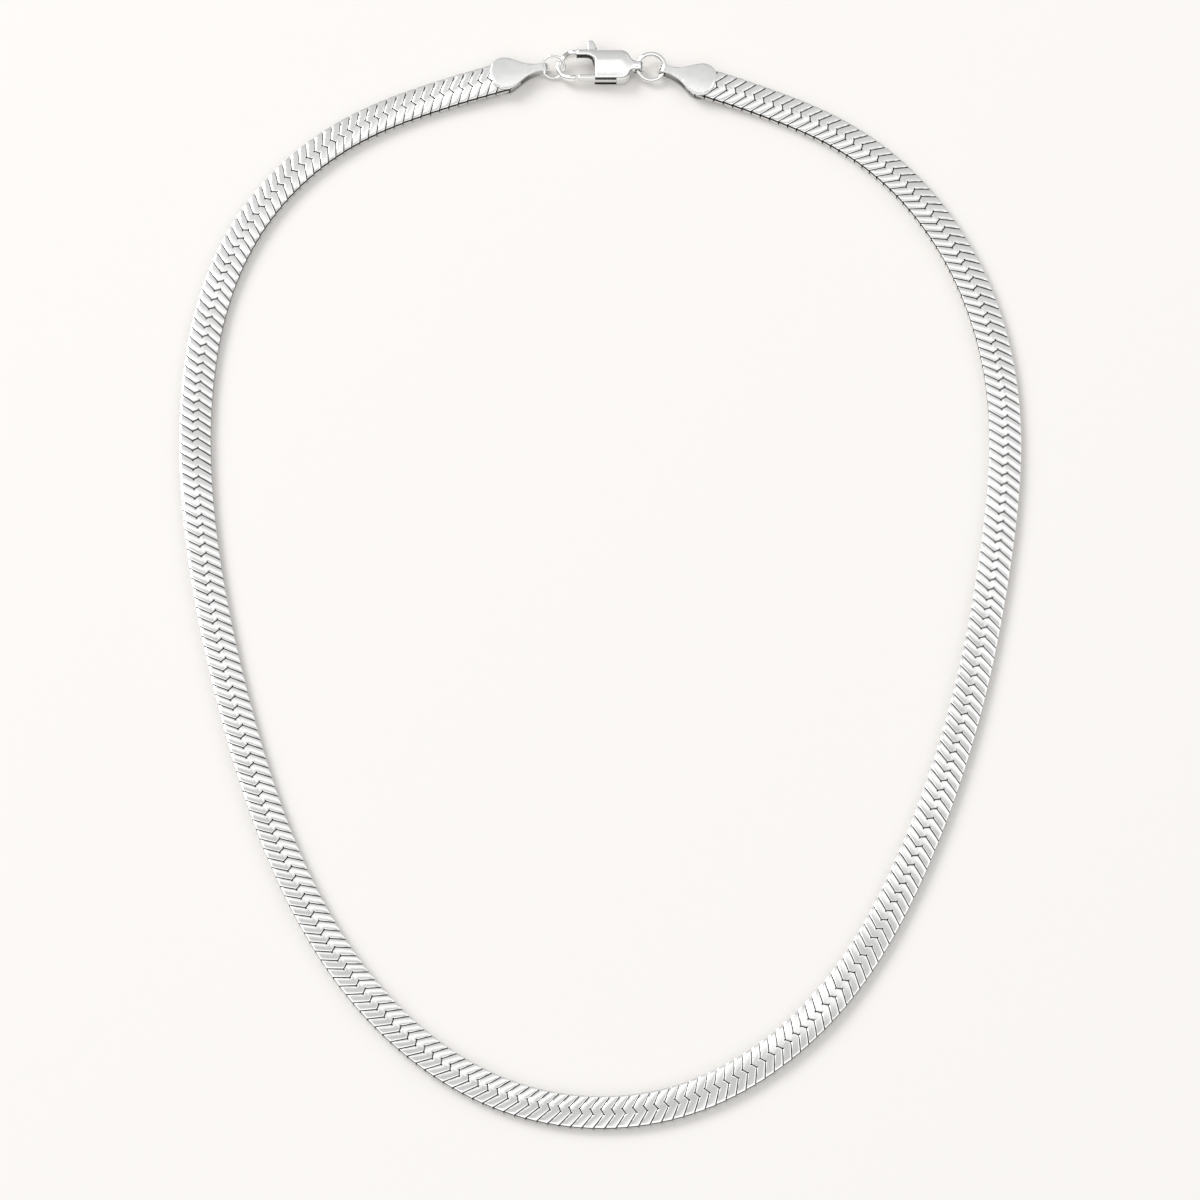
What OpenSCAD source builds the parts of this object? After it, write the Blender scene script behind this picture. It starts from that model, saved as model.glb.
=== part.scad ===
// Herringbone chain necklace, fastened and lying flat as a loop.
// Millimetres, +Z up, the surface it lies on at Z = 0, +Y towards the clasp.

/* [Loop] */
// Width of the loop, between the middle lines of its two sides
loop_w = 122; // [100:1:150]
// Length of the loop, from the clasp's middle line to the band's middle line at the front
loop_l = 166; // [140:1:200]

/* [Chain] */
// Width of the woven band
band_w = 4.7; // [3.6:0.1:5.4]
// Thickness of the woven band
band_t = 1.55; // [1.2:0.05:1.8]
// Spacing of the links along the band
link_pitch = 1.55; // [1.5:0.05:2.4]
// Width of the slanting step in the middle of each seam
kink_w = 0.8; // [0.5:0.05:1.2]
// How far that step runs along the band
kink_run = 0.37; // [0.2:0.01:0.5]
// How far a bar runs along the band for each millimetre across
bar_slant = 0.74; // [0.5:0.02:0.9]
// Width of the groove between neighbouring links
groove_w = 0.2; // [0.1:0.02:0.3]
// Depth of that groove
groove_d = 0.2; // [0.1:0.02:0.3]
// How much lower a bar is at the band's edge than in the middle
bar_crown = 0.14; // [0.05:0.01:0.25]

/* [End caps] */
// Length of an end cap from its fold to its round end
cap_l = 9.3; // [8.6:0.1:11]
// Width of the leaf where it holds the band
cap_head_w = 5.4; // [5.2:0.1:6.4]
// Length of the leaf's round end
cap_round_l = 2.3; // [1.8:0.1:2.8]
// Width of the strip behind its fold
cap_neck_w = 1.6; // [1.2:0.1:2]
// Width of the strip where it folds round the ring
cap_fold_w = 1.2; // [0.9:0.05:1.25]
// Thickness of the folded sheet
cap_sheet = 0.4; // [0.3:0.02:0.5]
// Slope of the right end cap from the clasp's long axis, in degrees
cap_turn_right = 17.5; // [8:0.5:22]
// Slope of the left end cap from the clasp's long axis, in degrees
cap_turn_left = 11; // [8:0.5:22]

/* [Rings] */
// Radius of the clasp ring to the middle of its wire
ring_r = 2.1; // [1.9:0.05:2.4]
// Thickness of the clasp ring's wire
ring_wire = 0.76; // [0.5:0.02:0.8]
// Lean of the clasp ring, its far side up, in degrees
ring_tilt = 10; // [0:1:16]
// Radius of the thin jump ring to the middle of its wire
jump_r = 1.74; // [1.7:0.02:2.1]
// Thickness of the jump ring's wire
jump_wire = 0.4; // [0.3:0.01:0.42]
// Lean of the jump ring, its far side up, in degrees
jump_tilt = 36; // [34:1:38]
// Height of both rings' centres
ring_z = 1.45; // [1.4:0.01:1.5]

/* [Clasp] */
// Width of the clasp's body
clasp_w = 4.9; // [4.6:0.1:5.6]
// Thickness of the clasp's body
clasp_t = 3; // [2.8:0.1:3.6]
// Distance from the claw's front to the body
jaw_reach = 6; // [5.6:0.1:7]
// Length of the body's straight part
body_l = 4.05; // [3.9:0.05:5]
// Radius of the body's rounded shoulder
shoulder_r = 1.6; // [1.2:0.1:1.8]
// Radius of the hollow between shoulder and tail
waist_r = 1; // [0.7:0.05:1.3]
// Length of the tail that holds the ring
tail_l = 1.2; // [1.1:0.05:1.6]
// Width of the tail
tail_w = 1.4; // [1.1:0.05:1.5]
// Radius of the hole through the tail
tail_hole_r = 0.68; // [0.64:0.01:0.72]
// Metal round the tail's hole
tail_wall = 0.35; // [0.3:0.01:0.5]
// Thickness of the body's two faces
face_t = 0.4; // [0.35:0.05:0.5]
// Length of the claw from its front to the line on its arm
claw_l = 3.15; // [3:0.05:3.6]
// Width of the claw's bar at its arms
claw_bar = 0.95; // [0.9:0.05:1.1]
// Width of the claw's bar at its front
claw_front_bar = 0.9; // [0.7:0.05:0.92]
// Thickness of the claw at its front
claw_front_t = 0.8; // [0.6:0.05:0.85]
// Thickness of the claw's fixed arm
claw_arm_t = 1.5; // [1.3:0.05:1.9]
// Gap between the claw's tip and the gate
gate_gap = 0.3; // [0.2:0.02:0.4]
// Width of the gate's bar
gate_bar = 0.9; // [0.7:0.05:1]
// How far the gate's heel reaches past its pin
gate_heel = 1.25; // [1.1:0.05:1.3]
// How far the thumb lever stands out of the body
lever_out = 1.9; // [1.2:0.1:2.2]
// Width of the thumb lever's tip
lever_w = 1.2; // [1:0.05:1.3]
// Radius of the gate's hidden pin
pin_r = 0.35; // [0.28:0.01:0.45]

/* [Hidden] */
$fn = 64;

// Clearances between pieces
band_fit = 0.05;
gate_fit = 0.4;
lever_fit = 0.2;
pin_fit = 0.02;
pivot_fit = 0.05;
tip_fit = 0.05;
// How loosely each ring lies against the inner end of what it passes through
jump_claw_play = 0.25;
jump_cap_play = 0.63;
ring_cap_play = 0.27;

// The band's route on a loop of 122 by 166, measured from the middle of the clasp: points that the
// curve is pulled towards, clockwise seen from above, from the right end cap to the left one
drawn_w = 122;
drawn_l = 166;
ROUTE = [[40.5, -10.5], [56.5, -31], [62.5, -56], [59.5, -81], [54.5, -105.5], [46, -129.5], [34, -151.5],
         [12.5, -167], [-13.5, -166.5], [-34.5, -150.5], [-47, -128], [-54.5, -104], [-60, -79.5],
         [-62, -54.5], [-57.5, -29], [-40.5, -9]];

// The clasp lies along X with its middle at X = 0, Y = 0 of the lay
shoulder_drop = clasp_w / 2 - tail_w / 2;
shoulder_run = sqrt(pow(shoulder_r + waist_r, 2) - pow(shoulder_drop - shoulder_r - waist_r, 2));
clasp_l = jaw_reach + body_l + shoulder_run + tail_l;
claw_front_x = -clasp_l / 2;
seam_x = claw_front_x + claw_l;
body_x = claw_front_x + jaw_reach;
shoulder_x = body_x + body_l;
waist_x = shoulder_x + shoulder_run;
tail_x = clasp_l / 2;
tail_hole_x = tail_x - tail_wall - tail_hole_r;

// Where the rings and the end caps lie
ring_x = tail_hole_x + ring_r;
jump_bar_x = claw_front_x + claw_front_bar / 2;
jump_x = jump_bar_x - (jump_r - jump_wire / 2 - claw_front_bar / 2 - jump_claw_play);
cap_gap = band_t + 2 * band_fit;
fold_r = cap_gap / 2 + cap_sheet;
cap_t = 2 * fold_r;
right_fold = ring_r - ring_wire / 2 - ring_cap_play - cap_sheet;
left_fold = jump_r - jump_wire / 2 - jump_cap_play - cap_sheet;

// The leaf's outline
cap_head_x = cap_l - cap_round_l;
cap_flare = 1.1;
cap_neck_l = 1.3;
cap_round_power = 2.3;
cap_steps = 14;

// The band's ends, tapered so that they stay between the leaves
band_seat = 4.9;
end_taper_l = 2;
end_taper = 0.36;
lift_l = 14;
seam_fade_l = 3;

// Points along the band
function on_axis(x, d, turn) = [x + d * cos(turn), d * sin(turn)];
right_seat = on_axis(ring_x, right_fold + band_seat, -cap_turn_right);
left_seat = on_axis(jump_x, left_fold + band_seat, 180 + cap_turn_left);
WAY = [for (p = ROUTE) [p.x * loop_w / drawn_w, p.y * loop_l / drawn_l]];
before_right = 2 * right_seat - WAY[0];
after_left = 2 * left_seat - WAY[len(WAY) - 1];
PULLS = concat([before_right, right_seat], WAY, [left_seat, after_left]);
span_steps = 24;
spans = len(PULLS) - 3;

// Uniform cubic B-spline
function spline(i, u) =
    (pow(1 - u, 3) * PULLS[i]
     + (3 * pow(u, 3) - 6 * pow(u, 2) + 4) * PULLS[i + 1]
     + (-3 * pow(u, 3) + 3 * pow(u, 2) + 3 * u + 1) * PULLS[i + 2]
     + pow(u, 3) * PULLS[i + 3]) / 6;
function spline_run(i, u) =
    (-pow(1 - u, 2) * PULLS[i]
     + (3 * pow(u, 2) - 4 * u) * PULLS[i + 1]
     + (-3 * pow(u, 2) + 2 * u + 1) * PULLS[i + 2]
     + pow(u, 2) * PULLS[i + 3]) / 2;
LINE = concat([for (i = [0:spans - 1], k = [0:span_steps - 1]) spline(i, k / span_steps)],
              [spline(spans - 1, 1)]);
RUNS = concat([for (i = [0:spans - 1], k = [0:span_steps - 1]) spline_run(i, k / span_steps)],
              [spline_run(spans - 1, 1)]);
last = len(LINE) - 1;
ALONG = [for (i = 0, s = 0; i <= last; s = s + (i < last ? norm(LINE[i + 1] - LINE[i]) : 0), i = i + 1) s];
line_x = [for (i = [0:last]) [ALONG[i], LINE[i].x]];
line_y = [for (i = [0:last]) [ALONG[i], LINE[i].y]];
run_x = [for (i = [0:last]) [ALONG[i], RUNS[i].x]];
run_y = [for (i = [0:last]) [ALONG[i], RUNS[i].y]];
band_l = ALONG[last];

// A place on the band: s along it, v outwards from its middle line
function outward(s) =
    let (t = [lookup(s, run_x), lookup(s, run_y)])
    [-t.y, t.x] / norm(t);
function on_band(s, v) = [lookup(s, line_x), lookup(s, line_y)] + v * outward(s);

// The lay is moved so that the origin is the middle of its underside
lever_tip_y = clasp_w / 2 + lever_out;
EDGES = [for (s = ALONG, v = [-band_w / 2, band_w / 2]) on_band(s, v)];
lay_left = min([for (p = EDGES) p.x]);
lay_right = max([for (p = EDGES) p.x]);
lay_low = min([for (p = EDGES) p.y]);
move_x = -(lay_left + lay_right) / 2;
move_y = -(lay_low + lever_tip_y) / 2;

module laid() {
    translate([move_x, move_y, 0]) children();
}

// Herringbone band

links = floor(band_l / link_pitch + 0.5);
pitch = band_l / links;
bar_w = (band_w - kink_w) / 2;

// A seam's four corners across the band: [share of the way out, how far along]
SEAM = [[1, bar_w * bar_slant - kink_run / 2],
        [kink_w / band_w, -kink_run / 2],
        [-kink_w / band_w, kink_run / 2],
        [-1, -bar_w * bar_slant + kink_run / 2]];
CROWN = [bar_crown, 0, 0, bar_crown];

function smooth(x) =
    let (t = max(0, min(1, x)))
    t * t * (3 - 2 * t);
function from_end(s) = min(s, band_l - s);
function lift(s) = (cap_sheet + band_fit) * (1 - smooth((from_end(s) - cap_round_l) / lift_l));
function half_w(s) = band_w / 2 * (1 - end_taper * (1 - smooth(from_end(s) / end_taper_l)));

// One row of the band: four corners on top, the same four below, wound round the band
function band_row(s, deep) =
    let (fade = min(1, from_end(s) / seam_fade_l))
    [for (side = [0, 1], k = [0:3])
        let (j = side == 0 ? k : 3 - k,
             t = s + fade * SEAM[j][1],
             p = on_band(t, SEAM[j][0] * half_w(t)),
             inset = deep + CROWN[j])
        [p.x, p.y, lift(t) + (side == 0 ? band_t - inset : inset)]];

// Each link starts with the bottom of a groove and then its raised leading edge
BAND_ROWS = concat([for (i = [0:links - 1], edge = [0, 1])
                        band_row(i * pitch + edge * groove_w, (1 - edge) * groove_d)],
                   [band_row(band_l, groove_d)]);

// Skin of a tube whose rows all have the same number of corners
module skin(rows) {
    corners = len(rows[0]);
    rings = len(rows);
    sides = [for (i = [0:rings - 2], k = [0:corners - 1])
                let (a = i * corners + k,
                     b = i * corners + (k + 1) % corners,
                     c = a + corners,
                     d = b + corners)
                each [[a, d, b], [a, c, d]]];
    first = [[for (k = [0:corners - 1]) k]];
    final = [[for (k = [corners - 1:-1:0]) (rings - 1) * corners + k]];
    polyhedron([for (r = rows) each r], concat(sides, first, final), convexity = 10);
}

module herringbone_chain() {
    color("silver")
    laid()
    skin(BAND_ROWS);
}

// End caps, along +X from the fold at X = 0

function leaf_half(x) =
    let (neck = smooth((x - 1.5 * fold_r) / cap_neck_l),
         flare = smooth(pow(max(0, x - 2 * fold_r) / (cap_head_x - 2 * fold_r), cap_flare)),
         round_end = max(0, x - cap_head_x) / cap_round_l)
    x <= cap_head_x
        ? (cap_fold_w + (cap_neck_w - cap_fold_w) * neck + (cap_head_w - cap_neck_w) * flare) / 2
        : cap_head_w / 2 * pow(max(0, 1 - pow(round_end, cap_round_power)), 1 / cap_round_power);
leaf_side = concat(
    [for (i = [0:cap_steps]) fold_r + i * (cap_head_x - fold_r) / cap_steps],
    [for (a = [90 / cap_steps:90 / cap_steps:90]) cap_head_x + cap_round_l * sin(a)]);

module leaf() {
    side = [for (x = leaf_side) [x, leaf_half(x)]];
    inner = len(side) - 2;
    tip = [side[len(side) - 1]];
    polygon(concat([for (i = [0:inner]) side[i]], tip, [for (i = [inner:-1:0]) [side[i].x, -side[i].y]]));
}

module fold() {
    translate([fold_r, cap_fold_w / 2, fold_r])
    rotate([90, 0, 0])
    linear_extrude(cap_fold_w)
    difference() {
        circle(fold_r);
        circle(fold_r - cap_sheet);
        translate([0, -fold_r]) square([fold_r, 2 * fold_r]);
    }
}

module end_cap() {
    linear_extrude(cap_sheet) leaf();
    translate([0, 0, cap_t - cap_sheet]) linear_extrude(cap_sheet) leaf();
    fold();
}

module end_cap_right() {
    color("gainsboro")
    laid()
    translate([ring_x, 0, 0])
    rotate([0, 0, -cap_turn_right])
    translate([right_fold, 0, 0])
    end_cap();
}

module end_cap_left() {
    color("gainsboro")
    laid()
    translate([jump_x, 0, 0])
    rotate([0, 0, 180 + cap_turn_left])
    translate([left_fold, 0, 0])
    end_cap();
}

// Rings

module wire_ring(radius, wire) {
    rotate_extrude($fn = 96) translate([radius, 0]) circle(wire / 2, $fn = 32);
}

module clasp_ring() {
    color("silver")
    laid()
    translate([ring_x, 0, ring_z])
    rotate([ring_tilt, 0, 0])
    wire_ring(ring_r, ring_wire);
}

module jump_ring() {
    color("silver")
    laid()
    translate([jump_x, 0, ring_z])
    rotate([jump_tilt, 0, 0])
    wire_ring(jump_r, jump_wire);
}

// Clasp

arc_steps = 12;
jaw_corner_r = 1.3;
jaw_wall = 0.25;
step_x = body_x - jaw_wall;
arm_y = clasp_w / 2 - claw_bar;
jaw_x = body_x - jaw_corner_r;
jaw_y = arm_y - jaw_corner_r;
core_x = body_x + 3.4;
root_x = seam_x + 1.4;
tail_z = ring_z;
tail_taper_l = 1.9;
seam_w = 0.12;
seam_d = 0.12;
arm_x = seam_x + seam_w;
arm_low = clasp_t - 0.1 - claw_arm_t;

function arc(x, y, r, from, to) =
    [for (i = [0:arc_steps]) let (a = from + (to - from) * i / arc_steps) [x + r * cos(a), y + r * sin(a)]];

// Plan of one side of the body, from the shoulder to the tail's end
shoulder_end = acos(1 - shoulder_drop / (shoulder_r + waist_r));
half_plan = concat(arc(shoulder_x, clasp_w / 2 - shoulder_r, shoulder_r, 90, 90 - shoulder_end),
                   arc(waist_x, tail_w / 2 + waist_r, waist_r, 270 - shoulder_end, 270));

module body_plan() {
    other_half = [for (i = [len(half_plan) - 1:-1:0]) [half_plan[i].x, -half_plan[i].y]];
    polygon(concat([[claw_front_x, clasp_w / 2]],
                   half_plan,
                   [[tail_x + tail_w, tail_w / 2], [tail_x + tail_w, -tail_w / 2]],
                   other_half,
                   [[body_x, -clasp_w / 2]],
                   arc(jaw_x, jaw_y, jaw_corner_r, 0, 90),
                   [[claw_front_x, arm_y]]));
}

// Side view: the arm, the full body, then narrowing to the tail's round end
module body_side() {
    tail_r = tail_hole_r + tail_wall;
    taper_x = waist_x - tail_taper_l;
    tail_top = tail_z + tail_r;
    tail_low = tail_z - tail_r;
    neck_x = waist_x + 0.1;
    translate([0, clasp_w, 0])
    rotate([90, 0, 0])
    linear_extrude(2 * clasp_w) {
        polygon([[arm_x, clasp_t], [arm_x, arm_low], [step_x, arm_low], [step_x, 0], [taper_x, 0],
                 [neck_x, tail_low], [tail_hole_x, tail_low], [tail_hole_x, tail_top], [neck_x, tail_top],
                 [taper_x, clasp_t]]);
        translate([tail_hole_x, tail_z]) circle(tail_r);
    }
}

// Slot for the gate and its lever between the two faces, closed towards the jaw's corner by a thin wall
module gate_slot() {
    wall_r = jaw_corner_r + jaw_wall;
    translate([0, 0, face_t])
    linear_extrude(clasp_t - 2 * face_t)
    difference() {
        translate([root_x, -clasp_w]) square([core_x - root_x, 2 * clasp_w]);
        intersection() {
            translate([jaw_x, jaw_y]) circle(wall_r);
            translate([jaw_x - wall_r, jaw_y - jaw_wall]) square(2 * wall_r);
        }
    }
}

// Claw: a bar bent round the jaw, thinner at its front where the jump ring hangs
claw_steps = 24;
claw_sides = 12;
claw_round = 0.8;
claw_flat = 34;
claw_arm_z = arm_low + claw_arm_t / 2;
claw_tip_t = clasp_t - 2 * face_t - 2 * gate_fit;
claw_mid_y = clasp_w / 2 - claw_bar / 2;
claw_bend_x = claw_front_x + 2.65;
claw_tip_x = seam_x - 0.05;

function mix(a, b, t) = a + (b - a) * t;
function claw_section(a) =
    let (front = 1 - smooth((abs(a) - claw_flat) / (90 - claw_flat)),
         side = a > 0 ? 1 : 0,
         middle = [claw_bend_x - (claw_bend_x - jump_bar_x) * cos(a), claw_mid_y * sin(a)],
         along = [(claw_bend_x - jump_bar_x) * sin(a), claw_mid_y * cos(a)],
         across = [-along.y, along.x] / norm(along),
         w = mix(claw_bar, claw_front_bar, front),
         t = mix(mix(claw_tip_t, claw_arm_t, side), claw_front_t, front),
         z = mix(mix(clasp_t / 2, claw_arm_z, side), ring_z, front))
    [middle, across, w, t, z];
function bar_ring(section) =
    [for (k = [0:claw_sides - 1])
        let (b = 360 * (k + 0.5) / claw_sides,
             c = sign(cos(b)) * pow(abs(cos(b)), claw_round),
             s = sign(sin(b)) * pow(abs(sin(b)), claw_round),
             p = section[0] + section[1] * section[2] / 2 * c)
        [p.x, p.y, section[4] + section[3] / 2 * s]];
function moved(section, x) = [[x, section[0].y], section[1], section[2], section[3], section[4]];
function slimmer(section, d) = [section[0], section[1], section[2] - d, section[3] - d, section[4]];
arm_end = claw_section(90);
tip_end = claw_section(-90);
CLAW_ROWS = [for (s = concat([moved(tip_end, claw_tip_x)],
                             [for (i = [0:claw_steps]) claw_section(-90 + 180 * i / claw_steps)],
                             [moved(arm_end, seam_x - seam_w / 2)],
                             [moved(slimmer(arm_end, 2 * seam_d), seam_x)],
                             [moved(arm_end, seam_x + seam_w / 2)],
                             [moved(arm_end, root_x - seam_w)]))
                 bar_ring(s)];

// The gate's pin goes in from below and ends inside the upper face
pivot_x = body_x + 2.05;
pivot_y = -clasp_w / 2 + 1.15;
pin_top = clasp_t - face_t / 2;

module clasp_body() {
    color("silver")
    laid()
    difference() {
        union() {
            intersection() {
                linear_extrude(clasp_t) body_plan();
                body_side();
            }
            skin(CLAW_ROWS);
        }
        gate_slot();
        translate([tail_hole_x, clasp_w, tail_z])
        rotate([90, 0, 0])
        cylinder(r = tail_hole_r, h = 2 * clasp_w);
        translate([pivot_x, pivot_y, -face_t])
        cylinder(r = pin_r + pin_fit, h = face_t + pin_top + pin_fit);
    }
}

// Gate and thumb lever
gate_t = clasp_t - 2 * face_t - 2 * gate_fit;
gate_tip_x = claw_tip_x + gate_gap;
gate_hub_r = clasp_w / 2 + pivot_y - tip_fit;
lever_tip_x = body_x - 0.57;
lever_root_x = body_x + jaw_wall + lever_fit;
lever_root_w = 1.5;
lever_root_y = arm_y - jaw_corner_r / 4;
hub_back = 37;

module gate_plan() {
    gate_y = -clasp_w / 2 + tip_fit;
    translate([gate_tip_x, gate_y]) square([pivot_x - gate_tip_x, gate_bar]);
    translate([pivot_x, gate_y]) square([gate_heel, pivot_y - gate_y]);
    translate([pivot_x, pivot_y]) circle(gate_hub_r);
    polygon([[lever_root_x, gate_y + gate_bar / 2],
             [pivot_x, gate_y + gate_bar / 2],
             [pivot_x + gate_hub_r * cos(hub_back), pivot_y + gate_hub_r * sin(hub_back)],
             [lever_root_x + lever_root_w, lever_root_y],
             [lever_tip_x + lever_w, clasp_w / 2],
             [lever_tip_x + lever_w / 2, lever_tip_y - lever_w / 2],
             [lever_tip_x - lever_w / 2, lever_tip_y - lever_w / 2],
             [lever_tip_x - lever_w / 2, clasp_w / 2],
             [lever_root_x, lever_root_y]]);
    translate([lever_tip_x, lever_tip_y - lever_w / 2]) circle(lever_w / 2);
}

module clasp_gate() {
    color("silver")
    laid()
    translate([0, 0, face_t + gate_fit])
    difference() {
        linear_extrude(gate_t) gate_plan();
        translate([pivot_x, pivot_y, -gate_t]) cylinder(r = pin_r + pivot_fit, h = 3 * gate_t);
    }
}

module clasp_pin() {
    color("gray")
    laid()
    translate([pivot_x, pivot_y, 0])
    cylinder(r = pin_r, h = pin_top);
}

herringbone_chain();
end_cap_right();
end_cap_left();
clasp_ring();
jump_ring();
clasp_body();
clasp_gate();
clasp_pin();
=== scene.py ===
import bisect
import math
import random

import bmesh
import bpy
from mathutils import Matrix, Vector


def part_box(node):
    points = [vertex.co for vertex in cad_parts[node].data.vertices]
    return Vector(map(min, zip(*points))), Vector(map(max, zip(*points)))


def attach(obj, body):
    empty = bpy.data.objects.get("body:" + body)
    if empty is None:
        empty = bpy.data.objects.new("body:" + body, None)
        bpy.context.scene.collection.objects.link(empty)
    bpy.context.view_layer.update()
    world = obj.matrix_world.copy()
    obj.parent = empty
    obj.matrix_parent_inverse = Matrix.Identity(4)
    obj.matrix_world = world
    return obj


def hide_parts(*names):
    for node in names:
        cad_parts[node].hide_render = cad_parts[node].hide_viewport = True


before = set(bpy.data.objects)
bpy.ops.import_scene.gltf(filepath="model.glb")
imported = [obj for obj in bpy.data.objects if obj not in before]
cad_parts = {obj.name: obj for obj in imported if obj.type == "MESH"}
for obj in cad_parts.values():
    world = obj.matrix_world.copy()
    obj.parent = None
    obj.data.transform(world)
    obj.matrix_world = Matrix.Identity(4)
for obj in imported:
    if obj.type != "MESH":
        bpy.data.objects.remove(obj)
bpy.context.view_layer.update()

MM = 0.001

# The middle of the clasp, from which the lay is measured
body_low, body_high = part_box("clasp_body")
MIDDLE = Vector(((body_low.x + body_high.x) / 2, (body_low.y + body_high.y) / 2, 0))

# Woven band, in millimetres
BAND_W = 4.7
BAND_T = 1.55
LINK_PITCH = 1.55
KINK_W = 0.8
KINK_RUN = 0.37
BAR_SLANT = 0.74

# Folded end caps
CAP_L = 9.3
CAP_HEAD_W = 5.4
CAP_ROUND_L = 2.3
CAP_NECK_W = 1.6
CAP_FOLD_W = 1.2
CAP_SHEET = 0.4
CAP_TURN_RIGHT = 17.5
CAP_TURN_LEFT = 11
BAND_FIT = 0.05
BAND_SEAT = 4.9

# Rings
RING_R = 2.1
RING_WIRE = 0.76
RING_TILT = 10
JUMP_R = 1.74
JUMP_WIRE = 0.4
JUMP_TILT = 36
RING_Z = 1.45

# Clasp
CLASP_W = 4.9
CLASP_T = 3
JAW_REACH = 6
BODY_L = 4.05
SHOULDER_R = 1.6
WAIST_R = 1
TAIL_L = 1.2
TAIL_W = 1.4
TAIL_HOLE_R = 0.68
TAIL_WALL = 0.35
FACE_T = 0.4
CLAW_L = 3.15
CLAW_BAR = 0.95
CLAW_FRONT_BAR = 0.9
CLAW_FRONT_T = 0.8
CLAW_ARM_T = 1.5
CLAW_FLAT = 34
GATE_GAP = 0.3
GATE_BAR = 0.9
GATE_FIT = 0.4
LEVER_FIT = 0.2
HEEL_FIT = 0.03
LEVER_OUT = 1.9
LEVER_W = 1.2

# Play between the links of the chain
RING_CAP_PLAY = 0.27
JUMP_CLAW_PLAY = 0.25
JUMP_CAP_PLAY = 0.63

# Points that the band's middle line is pulled towards, clockwise from the right end cap
ROUTE = [(40.5, -10.5), (56.5, -31), (62.5, -56), (59.5, -81), (54.5, -105.5), (46, -129.5), (34, -151.5),
         (12.5, -167), (-13.5, -166.5), (-34.5, -150.5), (-47, -128), (-54.5, -104), (-60, -79.5),
         (-62, -54.5), (-57.5, -29), (-40.5, -9)]
SPAN_STEPS = 24

SHOULDER_DROP = CLASP_W / 2 - TAIL_W / 2
SHOULDER_RUN = math.sqrt((SHOULDER_R + WAIST_R) ** 2 - (SHOULDER_DROP - SHOULDER_R - WAIST_R) ** 2)
CLASP_L = JAW_REACH + BODY_L + SHOULDER_RUN + TAIL_L
CLAW_FRONT_X = -CLASP_L / 2
SEAM_X = CLAW_FRONT_X + CLAW_L
BODY_X = CLAW_FRONT_X + JAW_REACH
SHOULDER_X = BODY_X + BODY_L
WAIST_X = SHOULDER_X + SHOULDER_RUN
TAIL_X = CLASP_L / 2
TAIL_HOLE_X = TAIL_X - TAIL_WALL - TAIL_HOLE_R
RING_X = TAIL_HOLE_X + RING_R
JUMP_BAR_X = CLAW_FRONT_X + CLAW_FRONT_BAR / 2
JUMP_X = JUMP_BAR_X - (JUMP_R - JUMP_WIRE / 2 - CLAW_FRONT_BAR / 2 - JUMP_CLAW_PLAY)
FOLD_R = BAND_T / 2 + BAND_FIT + CAP_SHEET
RIGHT_FOLD = RING_R - RING_WIRE / 2 - RING_CAP_PLAY - CAP_SHEET
LEFT_FOLD = JUMP_R - JUMP_WIRE / 2 - JUMP_CAP_PLAY - CAP_SHEET
CAP_HEAD_X = CAP_L - CAP_ROUND_L


def smooth(x):
    """A share, kept between 0 and 1, that starts and ends gently."""
    x = max(0.0, min(1.0, x))
    return x * x * (3 - 2 * x)


def mix(a, b, share):
    """The value that lies at that share of the way from a to b."""
    return a + (b - a) * share


# Finishing


def laid(bm):
    """Moves a mesh drawn in millimetres round the clasp's middle to its place in the frame."""
    place = Matrix.Translation(MIDDLE) @ Matrix.Diagonal((MM, MM, MM, 1))
    bmesh.ops.transform(bm, matrix=place, verts=bm.verts)


def finished(name, bm, materials, body, node, crisp=50):
    """Makes the mesh an object in place of its CAD node, shaded smooth up to the crisp angle in degrees."""
    bmesh.ops.recalc_face_normals(bm, faces=bm.faces)
    for face in bm.faces:
        face.smooth = True
    for edge in bm.edges:
        edge.smooth = len(edge.link_faces) == 2 and edge.calc_face_angle(0) < math.radians(crisp)
    mesh = bpy.data.meshes.new(name)
    bm.to_mesh(mesh)
    bm.free()
    for material in materials:
        mesh.materials.append(material)
    shape = bpy.data.objects.new(name, mesh)
    bpy.context.scene.collection.objects.link(shape)
    even = shape.modifiers.new("even_faces", "WEIGHTED_NORMAL")
    even.keep_sharp = True
    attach(shape, body)
    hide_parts(node)


# Shaping


def verts_of(parts):
    """The vertices among an operator's results."""
    return [part for part in parts if isinstance(part, bmesh.types.BMVert)]


def faces_of(parts):
    """The faces among an operator's results."""
    return [part for part in parts if isinstance(part, bmesh.types.BMFace)]


def every_part(bm):
    """All the mesh's vertices, edges and faces."""
    return bm.verts[:] + bm.edges[:] + bm.faces[:]


def is_level(edge):
    """True for an edge whose two ends lie at one height."""
    return abs(edge.verts[0].co.z - edge.verts[1].co.z) < 1e-6


def slab(outline, low, height):
    """A flat piece with that outline, its underside at low."""
    bm = bmesh.new()
    face = bm.faces.new([bm.verts.new((x, y, low)) for x, y in outline])
    raised = bmesh.ops.extrude_face_region(bm, geom=[face])["geom"]
    bmesh.ops.translate(bm, vec=(0, 0, height), verts=verts_of(raised))
    return bm


def rounded(bm, edges, size, segments, clamp=False):
    """Rounds those edges and returns the new faces."""
    return bmesh.ops.bevel(bm, geom=edges, offset=size, offset_type="OFFSET", segments=segments, profile=0.5,
                           affect="EDGES", material=-1, clamp_overlap=clamp)["faces"]


def scored(bm, normal, distance):
    """Adds edges where the plane with that normal, that far from the middle, crosses the mesh."""
    normal = Vector(normal)
    bmesh.ops.bisect_plane(bm, geom=every_part(bm), plane_co=normal * distance, plane_no=normal)


# Materials


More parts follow.
